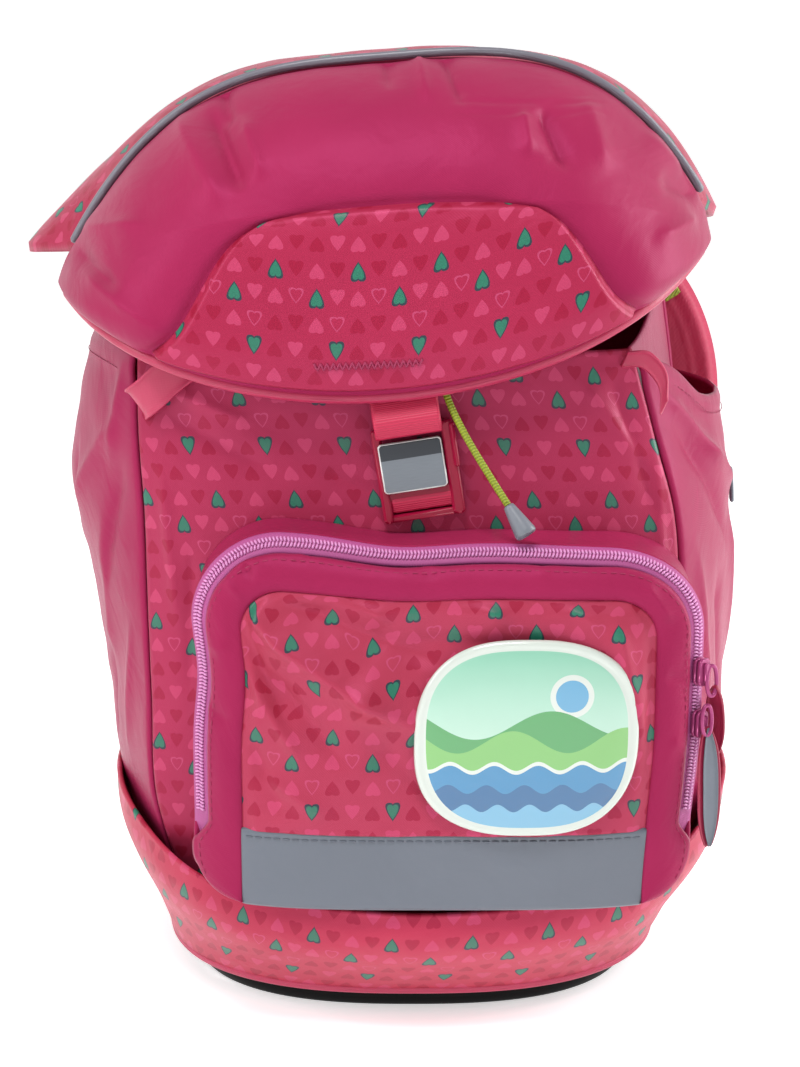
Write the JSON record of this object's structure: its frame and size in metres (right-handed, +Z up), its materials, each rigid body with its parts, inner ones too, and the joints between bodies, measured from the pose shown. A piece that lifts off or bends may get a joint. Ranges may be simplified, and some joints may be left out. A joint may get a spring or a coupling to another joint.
{
  "type": "school backpack",
  "caption": "Upright child's school backpack with a wide rounded lid, buckle, drawcord, zipped front pocket with a round badge, side pockets and padded straps.",
  "frame": {"origin": "centre of the bounding box, at the underside of the moulded base", "axes": "+Z up, front pocket towards -Y, the wearer's back towards +Y"},
  "size_m": [0.2742, 0.226, 0.3488],
  "materials": {
    "printed_cloth": "matt coated polyester with a printed pattern of small hearts",
    "plain_nylon": "lightly glossy magenta nylon",
    "pink_webbing": "ribbed webbing",
    "reflective_cloth": "silver grey retroreflective cloth",
    "zip_tape": "woven tape with a plastic coil",
    "black_plastic": "matt moulded",
    "pink_plastic": "satin moulded",
    "grey_metal": "satin anodised",
    "lime_textile": "braided or woven textile",
    "grey_plastic": "matt moulded",
    "clear_soft_plastic": "glossy domed over a printed face"
  },
  "bodies": {
    "root": {"bottom_band": "printed_cloth", "front_panel": "printed_cloth", "lid_top": "printed_cloth", "lid_inset": "printed_cloth", "pocket_face": "printed_cloth", "lid_front": "plain_nylon", "side_panel_left": "plain_nylon", "side_panel_right": "plain_nylon", "side_pocket_left": "plain_nylon", "side_pocket_right": "plain_nylon", "back_panel": "plain_nylon", "pocket_gusset": "plain_nylon", "pocket_rim": "plain_nylon", "back_padding": "plain_nylon", "shoulder_strap_left": "plain_nylon", "shoulder_strap_right": "plain_nylon", "zip_puller_back": "plain_nylon", "bottom_piping": "pink_webbing", "lid_edge_piping": "pink_webbing", "lid_webbing": "pink_webbing", "lower_webbing": "pink_webbing", "cord_eyelet": "pink_webbing", "corner_loop_left": "pink_webbing", "corner_loop_right": "pink_webbing", "strap_webbing_left": "pink_webbing", "strap_webbing_right": "pink_webbing", "grab_handle": "pink_webbing", "lid_reflective_piping": "reflective_cloth", "reflective_strip": "reflective_cloth", "side_tab": "reflective_cloth", "zip_puller_front": "reflective_cloth", "pocket_zip": "zip_tape", "zip_slider_upper": "zip_tape", "zip_slider_lower": "zip_tape", "base_tray": "black_plastic", "buckle_frame": "pink_plastic", "buckle_plate": "grey_metal", "drawcord": "lime_textile", "strap_trim_left": "lime_textile", "strap_trim_right": "lime_textile", "cord_end_cap": "grey_plastic", "badge": "clear_soft_plastic"}
  },
  "joints": []
}
